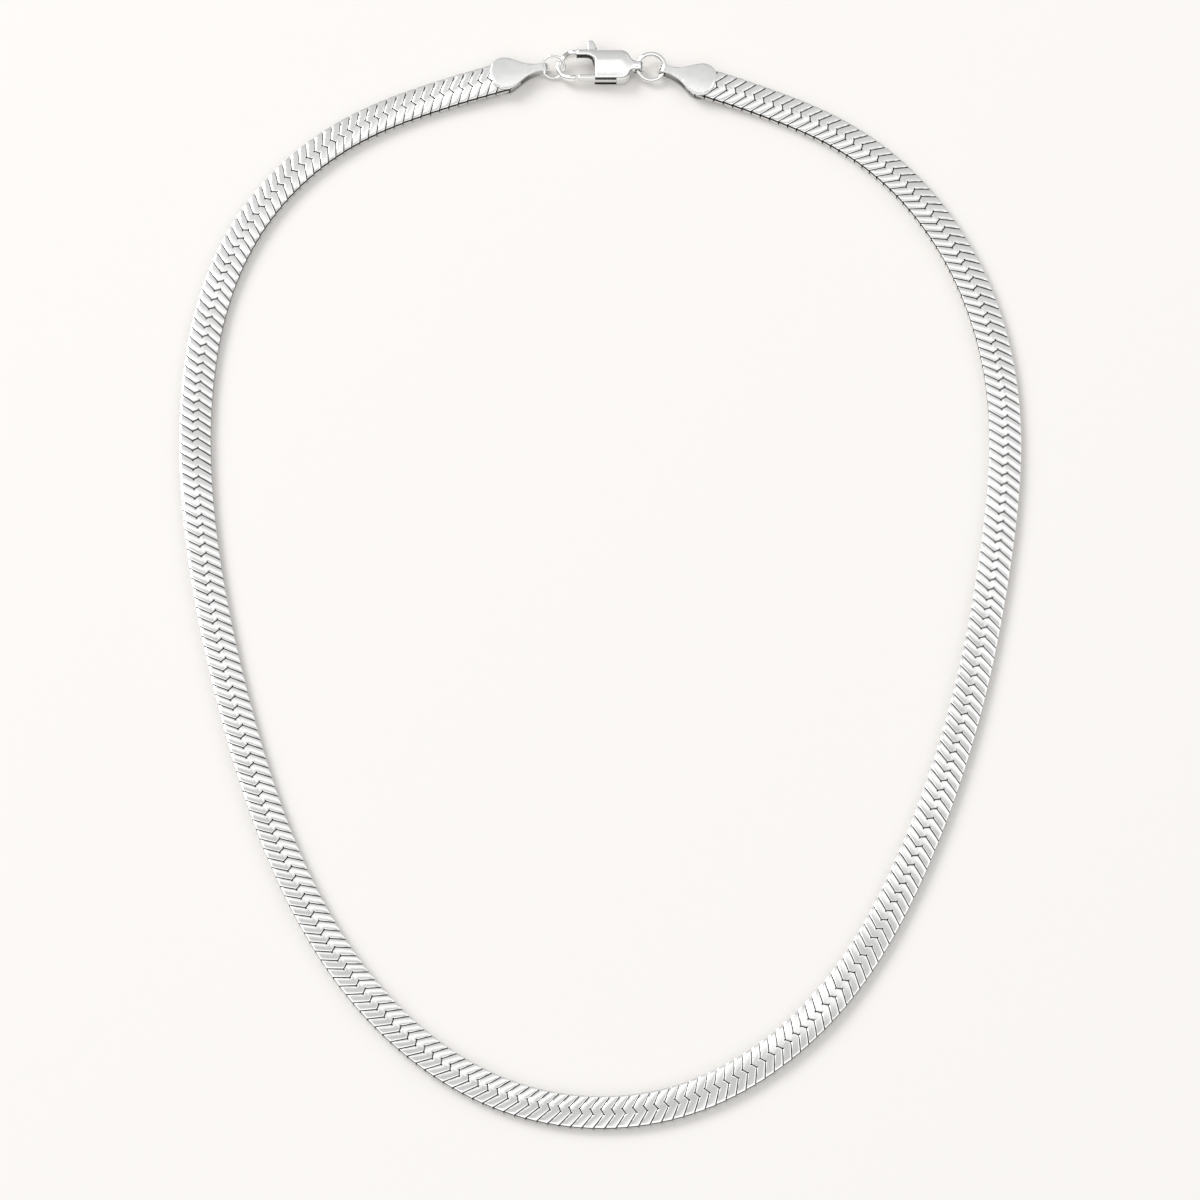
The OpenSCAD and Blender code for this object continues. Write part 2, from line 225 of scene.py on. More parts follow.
def group_socket(group, name, way, value=None):
    """Adds a number input or output to the group."""
    socket = group.interface.new_socket(name=name, in_out=way, socket_type="NodeSocketFloat")
    if value is not None:
        socket.default_value = value


def noise_group(name, values, detail, noise_low, noise_high):
    """A group that turns a noise into roughness and height; returns it, its input node and the noise."""
    group = bpy.data.node_groups.new(name, "ShaderNodeTree")
    for socket, value in values.items():
        group_socket(group, socket, "INPUT", value)
    group_socket(group, "Roughness", "OUTPUT")
    group_socket(group, "Height", "OUTPUT")
    link = group.links.new
    given = group.nodes.new("NodeGroupInput")
    put = group.nodes.new("NodeGroupOutput")
    noise = group.nodes.new("ShaderNodeTexNoise")
    noise.inputs["Detail"].default_value = detail
    spread = group.nodes.new("ShaderNodeMapRange")
    spread.inputs["From Min"].default_value = noise_low
    spread.inputs["From Max"].default_value = noise_high
    link(noise.outputs["Fac"], spread.inputs["Value"])
    link(given.outputs["Brightest"], spread.inputs["To Min"])
    link(given.outputs["Dullest"], spread.inputs["To Max"])
    link(spread.outputs["Result"], put.inputs["Roughness"])
    link(noise.outputs["Fac"], put.inputs["Height"])
    return group, given, noise


def polish_marks_group():
    """Uneven polish: a cloudy roughness and a faint unevenness of height, on object coordinates."""
    values = {"Fineness": 600.0, "Dullest": 0.2, "Brightest": 0.08}
    group, given, cloud = noise_group("polish_marks", values, detail=4.0, noise_low=0.35, noise_high=0.68)
    place = group.nodes.new("ShaderNodeTexCoord")
    group.links.new(place.outputs["Object"], cloud.inputs["Vector"])
    group.links.new(given.outputs["Fineness"], cloud.inputs["Scale"])
    return group


def satin_lines_group():
    """Fine lines along each bar, read from the bars' own map."""
    values = {"Dullest": 0.3, "Brightest": 0.14}
    group, _, lines = noise_group("satin_lines", values, detail=3.0, noise_low=0.3, noise_high=0.7)
    place = group.nodes.new("ShaderNodeUVMap")
    place.uv_map = "bar_grain"
    stretch = group.nodes.new("ShaderNodeMapping")
    stretch.inputs["Scale"].default_value = (0.5, 26.0, 1.0)
    lines.inputs["Scale"].default_value = 1.0
    group.links.new(place.outputs["UV"], stretch.inputs["Vector"])
    group.links.new(stretch.outputs["Vector"], lines.inputs["Vector"])
    return group


def metal(name, colour):
    """A bare metal material; returns it with its tree and its shader."""
    material = bpy.data.materials.new(name)
    material.use_nodes = True
    shader = material.node_tree.nodes["Principled BSDF"]
    shader.inputs["Metallic"].default_value = 1.0
    shader.inputs["Base Color"].default_value = (*colour, 1)
    return material, material.node_tree, shader


def marked(tree, shader, group, distance, **values):
    """Feeds a group's roughness, and its height over that distance, to the shader."""
    marks = tree.nodes.new("ShaderNodeGroup")
    marks.node_tree = group
    for name, value in values.items():
        marks.inputs[name].default_value = value
    bump = tree.nodes.new("ShaderNodeBump")
    bump.inputs["Strength"].default_value = 1.0
    bump.inputs["Distance"].default_value = distance
    tree.links.new(marks.outputs["Roughness"], shader.inputs["Roughness"])
    tree.links.new(marks.outputs["Height"], bump.inputs["Height"])
    tree.links.new(bump.outputs["Normal"], shader.inputs["Normal"])


def band_silver_material(satin):
    """Polished bars with satin lines; each link has its own tone."""
    material, tree, shader = metal("band_silver", (0.93, 0.93, 0.92))
    marked(tree, shader, satin, 0.0000012, Dullest=0.19, Brightest=0.09)
    tone = tree.nodes.new("ShaderNodeAttribute")
    tone.attribute_name = "link_tone"
    shade = tree.nodes.new("ShaderNodeMix")
    shade.data_type = "RGBA"
    shade.inputs["A"].default_value = (0.70, 0.69, 0.68, 1)
    shade.inputs["B"].default_value = (0.96, 0.96, 0.95, 1)
    tree.links.new(tone.outputs["Fac"], shade.inputs["Factor"])
    tree.links.new(shade.outputs["Result"], shader.inputs["Base Color"])
    return material


def painted_shade_silver_material(polish):
    """Near-black silver for the painted shade between the links and inside the clasp, with a rough finish."""
    material, tree, shader = metal("painted_shade_silver", (0.045, 0.042, 0.04))
    marked(tree, shader, polish, 0.00001, Fineness=2500.0, Dullest=0.6, Brightest=0.4)
    return material


def polished_silver_material(name, colour, polish, fineness, dullest, brightest):
    """Silver with the uneven polish, for the caps, the rings, the clasp and the pin; a darker copy paints
    shade inside the caps.
    """
    material, tree, shader = metal(name, colour)
    marked(tree, shader, polish, 0.000003, Fineness=fineness, Dullest=dullest, Brightest=brightest)
    return material


# The band's route


def spline_point(u, a, b, c, d):
    """Point at u of one span of a cubic B-spline."""
    return ((1 - u) ** 3 * a + (3 * u ** 3 - 6 * u ** 2 + 4) * b
            + (-3 * u ** 3 + 3 * u ** 2 + 3 * u + 1) * c + u ** 3 * d) / 6


def spline_run(u, a, b, c, d):
    """Direction at u of the same span."""
    return (-(1 - u) ** 2 * a + (3 * u ** 2 - 4 * u) * b + (-3 * u ** 2 + 2 * u + 1) * c + u ** 2 * d) / 2


def route():
    """Middle line of the band as the CAD has it: lengths along it, points and directions."""

    def on_axis(x, d, turn):
        turn = math.radians(turn)
        return Vector((x + d * math.cos(turn), d * math.sin(turn)))

    way = [Vector(p) for p in ROUTE]
    right_seat = on_axis(RING_X, RIGHT_FOLD + BAND_SEAT, -CAP_TURN_RIGHT)
    left_seat = on_axis(JUMP_X, LEFT_FOLD + BAND_SEAT, 180 + CAP_TURN_LEFT)
    pulls = [2 * right_seat - way[0], right_seat, *way, left_seat, 2 * left_seat - way[-1]]
    points = []
    runs = []
    for i in range(len(pulls) - 3):
        span = pulls[i:i + 4]
        last = i == len(pulls) - 4
        for k in range(SPAN_STEPS + last):
            points.append(spline_point(k / SPAN_STEPS, *span))
            runs.append(spline_run(k / SPAN_STEPS, *span))
    along = [0.0]
    for p, q in zip(points, points[1:]):
        along.append(along[-1] + (q - p).length)
    return along, points, runs


ALONG, POINTS, RUNS = route()
BAND_L = ALONG[-1]
LINKS = math.floor(BAND_L / LINK_PITCH + 0.5)
PITCH = BAND_L / LINKS
BAR_W = (BAND_W - KINK_W) / 2
HALF_W = BAND_W / 2
BAR_REACH = BAR_W * BAR_SLANT - KINK_RUN / 2

END_TAPER = 0.36
END_TAPER_L = 2
LIFT_L = 14
SEAM_FADE_L = 3

# Slow lean of the band, its outer side up: share of its length, degrees
LEANS = [(0, 0), (0.03, -0.5), (0.05, 0.2), (0.085, -0.8), (0.12, -0.8), (0.17, 0.4), (0.22, 1.2),
         (0.28, -1.0), (0.33, 0.2), (0.37, -1.0), (0.385, -0.8), (0.415, 2.4), (0.45, -1.2), (0.505, -1.4),
         (0.535, 0.9), (0.566, 1.8), (0.596, -1.2), (0.63, 0.9), (0.68, 0.9), (0.83, 0.8), (0.86, 0.2),
         (0.895, -0.8), (0.93, -0.9), (0.96, 0), (1, 0)]
# Slow tilt of its links, their following edge up: share of its length, degrees
PITCHES = [(0, 0), (0.1, 0.3), (0.12, 0.8), (0.153, 1.0), (0.18, 0), (0.23, 0), (0.26, -0.8), (0.287, -1.4),
           (0.31, -0.7), (0.335, -0.4), (0.352, 0.1), (0.383, -0.8), (0.41, 0), (0.775, 0), (0.792, -2.2),
           (0.827, -1.0), (0.85, 0), (0.89, -0.4), (0.93, -0.5), (0.96, 0), (1, 0)]


def on_route(s):
    """Point and outward direction at length s."""
    i = min(max(bisect.bisect_right(ALONG, s) - 1, 0), len(ALONG) - 2)
    u = max(0.0, min(1.0, (s - ALONG[i]) / (ALONG[i + 1] - ALONG[i])))
    run = RUNS[i].lerp(RUNS[i + 1], u)
    return POINTS[i].lerp(POINTS[i + 1], u), Vector((-run.y, run.x)).normalized()


def slow(table, s):
    """A slow change along the band, in radians, from a table of shares of its length and degrees."""
    share = s / BAND_L
    for (a, low), (b, high) in zip(table, table[1:]):
        if share <= b:
            return math.radians(mix(low, high, smooth((share - a) / (b - a))))
    return 0.0


def seam_offset(y):
    """How far along a seam runs, at y across the flat band."""
    size = abs(y)
    if size < KINK_W / 2:
        run = -KINK_RUN / 2 * size / (KINK_W / 2)
    else:
        run = -KINK_RUN / 2 + (size - KINK_W / 2) / BAR_W * (BAR_REACH + KINK_RUN / 2)
    return math.copysign(run, y) if y else 0.0


def onto_band(flat, start):
    """Takes a point of the flat link that starts at that length to its place on the laid band."""
    x, y, z = flat
    run = seam_offset(y)
    plain = start + x - run
    from_end = min(plain, BAND_L - plain)
    t = plain + max(0.0, min(1.0, from_end / SEAM_FADE_L)) * run
    t = max(0.0, min(BAND_L, t))
    from_end = min(t, BAND_L - t)
    width = 1 - END_TAPER * (1 - smooth(from_end / END_TAPER_L))
    lift = (CAP_SHEET + BAND_FIT) * (1 - smooth((from_end - CAP_ROUND_L) / LIFT_L))
    point, outward = on_route(t)
    place = point + outward * (y * width)
    return Vector((place.x, place.y, z + lift + y * slow(LEANS, t) * z / BAND_T))


# Links

SEAM_GAP = 0.16
KINK_GAP = 0.19
NOTCH_R = 0.14
NOTCH_TURNS = (114.8, 34, -46, -126.5)
# The corners of the outline that the crease joins, one in each notch
CREASE_ENDS = (3, 10)
TIP_WORN = 0.08
EDGE_ROUND = 0.16
EDGE_DROP = 0.045
SIDE_ROUND = 0.3
SIDE_DROP = 0.1
CREASE_HALF = 0.07
CREASE_DROP = 0.045
CREASE_STEPS = 2
UPPER_PLATE = 0.5
LOWER_PLATE = 0.8
LINK_CROWN = 0.07
# How far the upper plates lie below the crest, to leave room for their tilts
UPPER_SINK = 0.012
LINK_TILT = 0.5
LINK_TONES = (0.82, 1.0)
LINK_SEED = 7
GRAIN_SHIFT = 50
# A face is a link's outer end when its normal points this much sideways
END_FACING = 0.9
CORE_INSET = 0.32
CORE_OVERLAP = 0.02
CORE_END = 0.3
CORE_STEPS = 180


def link_outline():
    """Corners of a link between two seams, with a round notch in each inner corner."""
    half = [Vector((BAR_REACH + SEAM_GAP / 2, HALF_W)), Vector((-KINK_RUN / 2 + KINK_GAP / 2, KINK_W / 2))]
    inner = Vector((KINK_RUN / 2 + KINK_GAP / 2, -KINK_W / 2))
    for turn in NOTCH_TURNS:
        turn = math.radians(turn)
        half.append(inner + NOTCH_R * Vector((math.cos(turn), math.sin(turn))))
    half.append(Vector((-BAR_REACH + SEAM_GAP / 2 + TIP_WORN, -HALF_W + TIP_WORN / 2)))
    return half + [Vector((PITCH, 0)) - p for p in half]


def link_plate(bm, thickness):
    """One face of a link, its top at Z = 0: rounded rim, notched corners and a shallow crease."""
    outline = link_outline()
    top = bm.faces.new([bm.verts.new((p.x, p.y, 0)) for p in outline])
    top.normal_update()
    bmesh.ops.inset_individual(bm, faces=[top], thickness=EDGE_ROUND, depth=0, use_even_offset=True)
    rim = [e for e in bm.edges if len(e.link_faces) == 1]
    low = {v for e in rim for v in e.verts}
    notch_ends = [min(top.verts, key=lambda v: (v.co.xy - outline[k]).length) for k in CREASE_ENDS]
    for v in top.verts:
        if abs(v.co.y) > BAR_W:
            shift = (SIDE_ROUND - EDGE_ROUND) * math.copysign(1, v.co.y)
            v.co.y -= shift
            v.co.x -= shift * BAR_SLANT
    crease = bmesh.ops.connect_vert_pair(bm, verts=notch_ends)["edges"]
    strips = rounded(bm, crease, CREASE_HALF, CREASE_STEPS)
    middle = [e for e in bm.edges if len(e.link_faces) == 2 and all(f in strips for f in e.link_faces)]
    for v in {v for e in middle for v in e.verts}:
        v.co.z -= CREASE_DROP
    for v in low:
        v.co.z -= SIDE_DROP if abs(v.co.y) > HALF_W - TIP_WORN else EDGE_DROP
    for v in bm.verts:
        v.co.z -= LINK_CROWN * max(0.0, abs(v.co.y) - KINK_W / 2) / BAR_W
    walls = bmesh.ops.extrude_edge_only(bm, edges=rim)["geom"]
    feet = verts_of(walls)
    for v in feet:
        v.co.z = -thickness
    foot_rim = [e for e in bm.edges if all(v in feet for v in e.verts)]
    base = bmesh.ops.contextual_create(bm, geom=foot_rim)["faces"]
    # Walls and underside get painted shade: dark seams, dark side grooves and a dark ledge
    for face in faces_of(walls) + base:
        face.material_index = 1


def link_form():
    """A flat link: an upper plate and, below it, a thicker one turned over; its walls and inner faces are in
    painted shade, except the lower plate's outer ends.
    """
    bm = bmesh.new()
    link_plate(bm, LOWER_PLATE)
    bmesh.ops.scale(bm, vec=(1, 1, -1), verts=bm.verts)
    bmesh.ops.reverse_faces(bm, faces=bm.faces)
    # The lower plate's outer ends go back to plain silver
    for face in bm.faces:
        face.normal_update()
        if abs(face.normal.y) > END_FACING:
            face.material_index = 0
    lower = bpy.data.meshes.new("lower_plate")
    bm.to_mesh(lower)
    bm.clear()
    link_plate(bm, UPPER_PLATE)
    bmesh.ops.translate(bm, vec=(0, 0, BAND_T), verts=bm.verts)
    bm.from_mesh(lower)
    bpy.data.meshes.remove(lower)
    bmesh.ops.recalc_face_normals(bm, faces=bm.faces)
    grain = bm.loops.layers.uv.new("bar_grain")
    bar = Vector((BAR_SLANT, 1)).normalized()
    for face in bm.faces:
        for loop in face.loops:
            flat = loop.vert.co.xy
            loop[grain].uv = (flat.dot(bar), flat.x * bar.y - flat.y * bar.x)
    form = bpy.data.meshes.new("link_form")
    bm.to_mesh(form)
    bm.free()
    return form


def core(bm):
    """The inside of the band, in painted shade, seen only through the seams and the side grooves."""
    low = LOWER_PLATE - CORE_OVERLAP
    high = BAND_T - UPPER_PLATE + CORE_OVERLAP
    inner = HALF_W - CORE_INSET
    ends = []
    for k in range(CORE_STEPS + 1):
        s = mix(CORE_END, BAND_L - CORE_END, k / CORE_STEPS)
        corners = []
        for y, z in ((inner, low), (inner, high), (-inner, high), (-inner, low)):
            corners.append(bm.verts.new(onto_band((s + seam_offset(y), y, z), 0)))
        ends.append([bm.edges.new((corners[j], corners[(j + 1) % 4])) for j in range(4)])
    for a, b in zip(ends, ends[1:]):
        for face in bmesh.ops.bridge_loops(bm, edges=a + b)["faces"]:
            face.material_index = 1
    for loop in (ends[0], ends[-1]):
        for face in bmesh.ops.contextual_create(bm, geom=loop)["faces"]:
            face.material_index = 1


def herringbone_links(silver, painted_shade):
    """All the links laid round the loop, each with its own slight tilt and tone, over a core in painted
    shade.
    """
    draw = random.Random(LINK_SEED)
    form = link_form()
    bm = bmesh.new()
    tone = bm.verts.layers.float.new("link_tone")
    grain = bm.loops.layers.uv.new("bar_grain")
    step = len(form.vertices)
    faces = len(form.polygons)
    for i in range(LINKS):
        bm.from_mesh(form)
        bm.verts.ensure_lookup_table()
        bm.faces.ensure_lookup_table()
        roll = math.radians(draw.uniform(-LINK_TILT, LINK_TILT))
        pitch = slow(PITCHES, (i + 0.5) * PITCH) + math.radians(draw.uniform(-LINK_TILT, LINK_TILT))
        shade = draw.uniform(*LINK_TONES)
        shift = Vector((draw.uniform(0, GRAIN_SHIFT), draw.uniform(0, GRAIN_SHIFT)))
        for v in bm.verts[i * step:]:
            x, y, z = v.co
            if z > BAND_T / 2:
                z += y * roll + (x - PITCH / 2) * pitch - UPPER_SINK
            v.co = onto_band((x, y, z), i * PITCH)
            v[tone] = shade
        for face in bm.faces[i * faces:]:
            for loop in face.loops:
                loop[grain].uv += shift
    bpy.data.meshes.remove(form)
    core(bm)
    laid(bm)
    finished("herringbone_links", bm, [silver, painted_shade], "necklace", "herringbone_chain")


# End caps

CAP_FLARE = 1.1
CAP_NECK_L = 1.3
CAP_ROUND_POWER = 2.3
CAP_STEPS = 20
CAP_RIM = 0.1
CAP_RIM_STEPS = 3
# A cap's edge sharper than this many degrees is rounded
CAP_RIM_ANGLE = 60
CAP_CUTS = 12
CAP_CROWN = 0.06
CAP_CROWN_RUN = 2
CAP_NECK_X = 1.5 * FOLD_R
CAP_LEAF_X = 2 * FOLD_R
FOLD_STEPS = 16
# A face on the cap's inside, from this far past the fold and facing the band this much, gets painted shade
INSIDE_FROM = 0.2
INSIDE_FACING = 0.3


def leaf_half(x):
    """Half the width of the cap's leaf at x: a narrow neck that flares into a round head."""
    if x > CAP_HEAD_X:
        part = min(1.0, (x - CAP_HEAD_X) / CAP_ROUND_L)
        return CAP_HEAD_W / 2 * max(0.0, 1 - part ** CAP_ROUND_POWER) ** (1 / CAP_ROUND_POWER)
    neck = smooth((x - CAP_NECK_X) / CAP_NECK_L)
    flare = smooth((max(0.0, x - CAP_LEAF_X) / (CAP_HEAD_X - CAP_LEAF_X)) ** CAP_FLARE)
    return (CAP_FOLD_W + (CAP_NECK_W - CAP_FOLD_W) * neck + (CAP_HEAD_W - CAP_NECK_W) * flare) / 2


def leaf_outline():
    """The leaf's outline from the fold round its head and back."""
    side = [mix(FOLD_R, CAP_HEAD_X, i / CAP_STEPS) for i in range(CAP_STEPS + 1)]
    for i in range(1, CAP_STEPS + 1):
        side.append(CAP_HEAD_X + CAP_ROUND_L * math.sin(math.pi / 2 * i / CAP_STEPS))
    front = [(x, -leaf_half(x)) for x in side[:-1]]
    back = [(x, leaf_half(x)) for x in reversed(side[:-1])]
    return front + [(side[-1], 0)] + back


def folded_cap(name, silver, inside_shade, node, fold_x, turn, fold):
    """A strip of sheet folded round the ring, with a leaf over the band and the same leaf under it."""
    bm = slab(leaf_outline(), FOLD_R - CAP_SHEET, CAP_SHEET)
    open_end = [f for f in bm.faces if all(abs(v.co.x - FOLD_R) < 1e-5 for v in f.verts)]
    mouth = [e for f in open_end for e in f.edges]
    bmesh.ops.delete(bm, geom=open_end, context="FACES_ONLY")
    copy = bmesh.ops.duplicate(bm, geom=every_part(bm))["geom"]
    bmesh.ops.scale(bm, vec=(1, 1, -1), verts=verts_of(copy))
    bmesh.ops.reverse_faces(bm, faces=faces_of(copy))
    bmesh.ops.spin(bm, geom=mouth, cent=(FOLD_R, 0, 0), axis=(0, -1, 0), angle=math.pi, steps=FOLD_STEPS)
    bmesh.ops.remove_doubles(bm, verts=bm.verts, dist=1e-4)
    bmesh.ops.recalc_face_normals(bm, faces=bm.faces)
    sharp = math.radians(CAP_RIM_ANGLE)
    rims = [e for e in bm.edges if len(e.link_faces) == 2 and e.calc_face_angle(0) > sharp]
    rounded(bm, rims, CAP_RIM, CAP_RIM_STEPS, clamp=True)
    for i in range(1, CAP_CUTS):
        scored(bm, (0, 1, 0), mix(-CAP_HEAD_W / 2, CAP_HEAD_W / 2, i / CAP_CUTS))
        scored(bm, (1, 0, 0), mix(CAP_LEAF_X, CAP_L, i / CAP_CUTS))
    for v in bm.verts:
        if v.co.z > 0:
            bow = (v.co.y / (CAP_HEAD_W / 2)) ** 2 * smooth((v.co.x - CAP_LEAF_X) / CAP_CROWN_RUN)
            v.co.z -= CAP_CROWN * bow
    # Faces on the cap's inside take the darker silver: painted shade inside the fold
    for face in bm.faces:
        face.normal_update()
        middle = face.calc_center_median()
        if middle.x > FOLD_R + INSIDE_FROM and face.normal.z * middle.z < -INSIDE_FACING * abs(middle.z):
            face.material_index = 1
    place = (Matrix.Translation((fold_x, 0, FOLD_R)) @ Matrix.Rotation(math.radians(turn), 4, "Z")
             @ Matrix.Translation((fold, 0, 0)))
    bmesh.ops.transform(bm, matrix=place, verts=bm.verts)
    laid(bm)
    finished(name, bm, [silver, inside_shade], "necklace", node)


# Rings

WIRE_SIDES = 24
RING_STEPS = 128


def wire_ring(name, silver, node, radius, wire, x, tilt):
    """A whole round wire, its far side raised by the tilt in degrees."""
    bm = bmesh.new()
    start = Matrix.Translation((radius, 0, 0)) @ Matrix.Rotation(math.pi / 2, 4, "X")
    bmesh.ops.create_circle(bm, cap_ends=False, radius=wire / 2, segments=WIRE_SIDES, matrix=start)
    bmesh.ops.spin(bm, geom=bm.verts[:] + bm.edges[:], cent=(0, 0, 0), axis=(0, 0, 1), angle=2 * math.pi,
                   steps=RING_STEPS, use_merge=True)
    bmesh.ops.recalc_face_normals(bm, faces=bm.faces)
    place = Matrix.Translation((x, 0, RING_Z)) @ Matrix.Rotation(math.radians(tilt), 4, "X")
    bmesh.ops.transform(bm, matrix=place, verts=bm.verts)
    laid(bm)
    finished(name, bm, [silver], "necklace", node)


# Clasp

ARC_STEPS = 14
JAW_CORNER_R = 1.3
JAW_WALL = 0.25
ARM_Y = CLASP_W / 2 - CLAW_BAR
STEP_X = BODY_X - JAW_WALL
STEP_RUN = 0.3
TAIL_R = TAIL_HOLE_R + TAIL_WALL
TAIL_START_X = SHOULDER_X - 0.2
TAIL_END_X = WAIST_X + 0.15
SEAM_W = 0.12
SEAM_D = 0.12
ARM_X = SEAM_X + SEAM_W / 2
ARM_LOW = CLASP_T - 0.1 - CLAW_ARM_T

# The body's rim, the cuts that its face bends at, and how far the face falls to its front and back
BODY_RIM = 0.38
RIM_STEPS = 5
BODY_CUTS_X = 44
BODY_CUTS_Y = 12
CROWN_HIGH = 0.022
CROWN_LEAN = 0.11
CROWN_FRONT = 0.061
CROWN_BACK = 0.204
ROD_SIDES = 48

# The claw's bend, and its rounded tip: distance from its end, how much slimmer
CLAW_BEND_X = CLAW_FRONT_X + 2.65
CLAW_TIP_X = SEAM_X - 0.05
CLAW_TIP_LOOPS = ((0.0, 0.3), (0.05, 0.12), (0.14, 0.0))
CLAW_ROOT_X = SEAM_X + 0.9
CLAW_SIDES = 24
CLAW_STEPS = 36
CLAW_ROUND = 0.7

# The slot and the gate in it
SLOT_FRONT_X = SEAM_X + 1.4
SLOT_BACK_X = BODY_X + 3.4
PIVOT_X = BODY_X + 2.05
PIVOT_Y = -CLASP_W / 2 + 1.15
GATE_T = CLASP_T - 2 * FACE_T - 2 * GATE_FIT
GATE_TIP_X = CLAW_TIP_X + GATE_GAP
GATE_INSET = 0.05
GATE_Y = -CLASP_W / 2 + GATE_INSET
GATE_HUB_R = CLASP_W / 2 + PIVOT_Y - GATE_INSET
GATE_HUB_BACK = 37
GATE_RIM = 0.28
# Past this x, towards the tail, the gate's upper front rim under the body's face gets painted shade
GATE_PAINTED_SHADE_X = BODY_X + 0.1
LEVER_TIP_X = BODY_X - 0.57
LEVER_TIP_Y = CLASP_W / 2 + LEVER_OUT
LEVER_TIP_BACK = 10
LEVER_ROOT_X = BODY_X + JAW_WALL + LEVER_FIT
LEVER_ROOT_W = 1.5
LEVER_ROOT_Y = ARM_Y - JAW_CORNER_R / 4

# Within this a point belongs to a wall of the slot or the jaw, and an edge to the gate's tip
TOUCH = 0.01


def arc(x, y, r, start, end):
    turns = [math.radians(mix(start, end, i / ARC_STEPS)) for i in range(ARC_STEPS + 1)]
    return [(x + r * math.cos(a), y + r * math.sin(a)) for a in turns]


def body_outline():
    """The body from above: its arm, shoulders and tail, and the rounded corner of the jaw."""
    shoulder_end = math.degrees(math.acos(1 - SHOULDER_DROP / (SHOULDER_R + WAIST_R)))
    half = arc(SHOULDER_X, CLASP_W / 2 - SHOULDER_R, SHOULDER_R, 90, 90 - shoulder_end)
    half += arc(WAIST_X, TAIL_W / 2 + WAIST_R, WAIST_R, 270 - shoulder_end, 270)[1:]
    half += [(TAIL_X, TAIL_W / 2)]
    other = [(x, -y) for x, y in reversed(half)]
    jaw = arc(BODY_X - JAW_CORNER_R, ARM_Y - JAW_CORNER_R, JAW_CORNER_R, 0, 90)
    return [(ARM_X, CLASP_W / 2)] + half + other + [(BODY_X, -CLASP_W / 2)] + jaw + [(ARM_X, ARM_Y)]


def body_heights(x):
    """Lowest and highest point of the body's side view at x."""
    narrow = smooth((x - TAIL_START_X) / (TAIL_END_X - TAIL_START_X))
    low = mix(0, RING_Z - TAIL_R, narrow)
    high = mix(CLASP_T, RING_Z + TAIL_R, narrow)
    if x > TAIL_HOLE_X:
        bow = math.sqrt(max(0.0, TAIL_R ** 2 - (x - TAIL_HOLE_X) ** 2))
        low = max(low, RING_Z - bow)
        high = min(high, RING_Z + bow)
    low = max(low, ARM_LOW * (1 - smooth((x - STEP_X) / STEP_RUN + 0.5)))
    return low, high


def body_crown(y):
    """How far the face lies below its crest at y: a slow fall to the front, a quicker one to the back."""
    t = -y / (CLASP_W / 2)
    return CROWN_HIGH + CROWN_LEAN * t + CROWN_FRONT * t * t + CROWN_BACK * max(0.0, -t) ** 3


def joined(bm, cutter, how):
    """The mesh after an exact boolean with another one; both are used up."""
    forms = []
    for part in (bm, cutter):
        mesh = bpy.data.meshes.new("working")
        part.to_mesh(mesh)
        part.free()
        shape = bpy.data.objects.new("working", mesh)
        bpy.context.scene.collection.objects.link(shape)
        forms.append(shape)
    cut = forms[0].modifiers.new("cut", "BOOLEAN")
    cut.operation = how
    cut.solver = "EXACT"
    cut.object = forms[1]
    result = bmesh.new()
    result.from_object(forms[0], bpy.context.evaluated_depsgraph_get())
    for shape in forms:
        mesh = shape.data
        bpy.data.objects.remove(shape)
        bpy.data.meshes.remove(mesh)
    return result


def block(low, high):
    """A box between two opposite corners."""
    bm = bmesh.new()
    place = Matrix.Translation((low + high) / 2) @ Matrix.Diagonal((*(high - low), 1))
    bmesh.ops.create_cube(bm, size=1, matrix=place)
    return bm


def rod(radius, middle, length, turn):
    """A round rod through that point, upright until it is turned."""
    bm = bmesh.new()
    bmesh.ops.create_cone(bm, cap_ends=True, segments=ROD_SIDES, radius1=radius, radius2=radius, depth=length,
                          matrix=Matrix.Translation(middle) @ turn)
    return bm


def claw_section(a):
    """Middle, direction across, width, thickness and height of the claw's bar at angle a from its front."""
    mid_y = CLASP_W / 2 - CLAW_BAR / 2
    front = 1 - smooth((abs(a) - CLAW_FLAT) / (90 - CLAW_FLAT))
    turn = math.radians(a)
    reach = CLAW_BEND_X - JUMP_BAR_X
    middle = Vector((CLAW_BEND_X - reach * math.cos(turn), mid_y * math.sin(turn)))
    along = Vector((reach * math.sin(turn), mid_y * math.cos(turn)))
    across = Vector((-along.y, along.x)).normalized()
    arm = a > 0
    width = mix(CLAW_BAR, CLAW_FRONT_BAR, front)
    thick = mix(CLAW_ARM_T if arm else GATE_T, CLAW_FRONT_T, front)
    z = mix(ARM_LOW + CLAW_ARM_T / 2 if arm else CLASP_T / 2, RING_Z, front)
    return middle, across, width, thick, z


def claw_loop(bm, section, slimmer=0.0):
    """One loop of the claw's bar: a rectangle with well rounded corners."""
    middle, across, width, thick, z = section
    width -= slimmer
    thick -= slimmer
    verts = []
    for k in range(CLAW_SIDES):
        b = 2 * math.pi * (k + 0.5) / CLAW_SIDES
        c = math.copysign(abs(math.cos(b)) ** CLAW_ROUND, math.cos(b))
        s = math.copysign(abs(math.sin(b)) ** CLAW_ROUND, math.sin(b))
        p = middle + across * (width / 2 * c)
        verts.append(bm.verts.new((p.x, p.y, z + thick / 2 * s)))
    return [bm.edges.new((verts[k], verts[(k + 1) % CLAW_SIDES])) for k in range(CLAW_SIDES)]


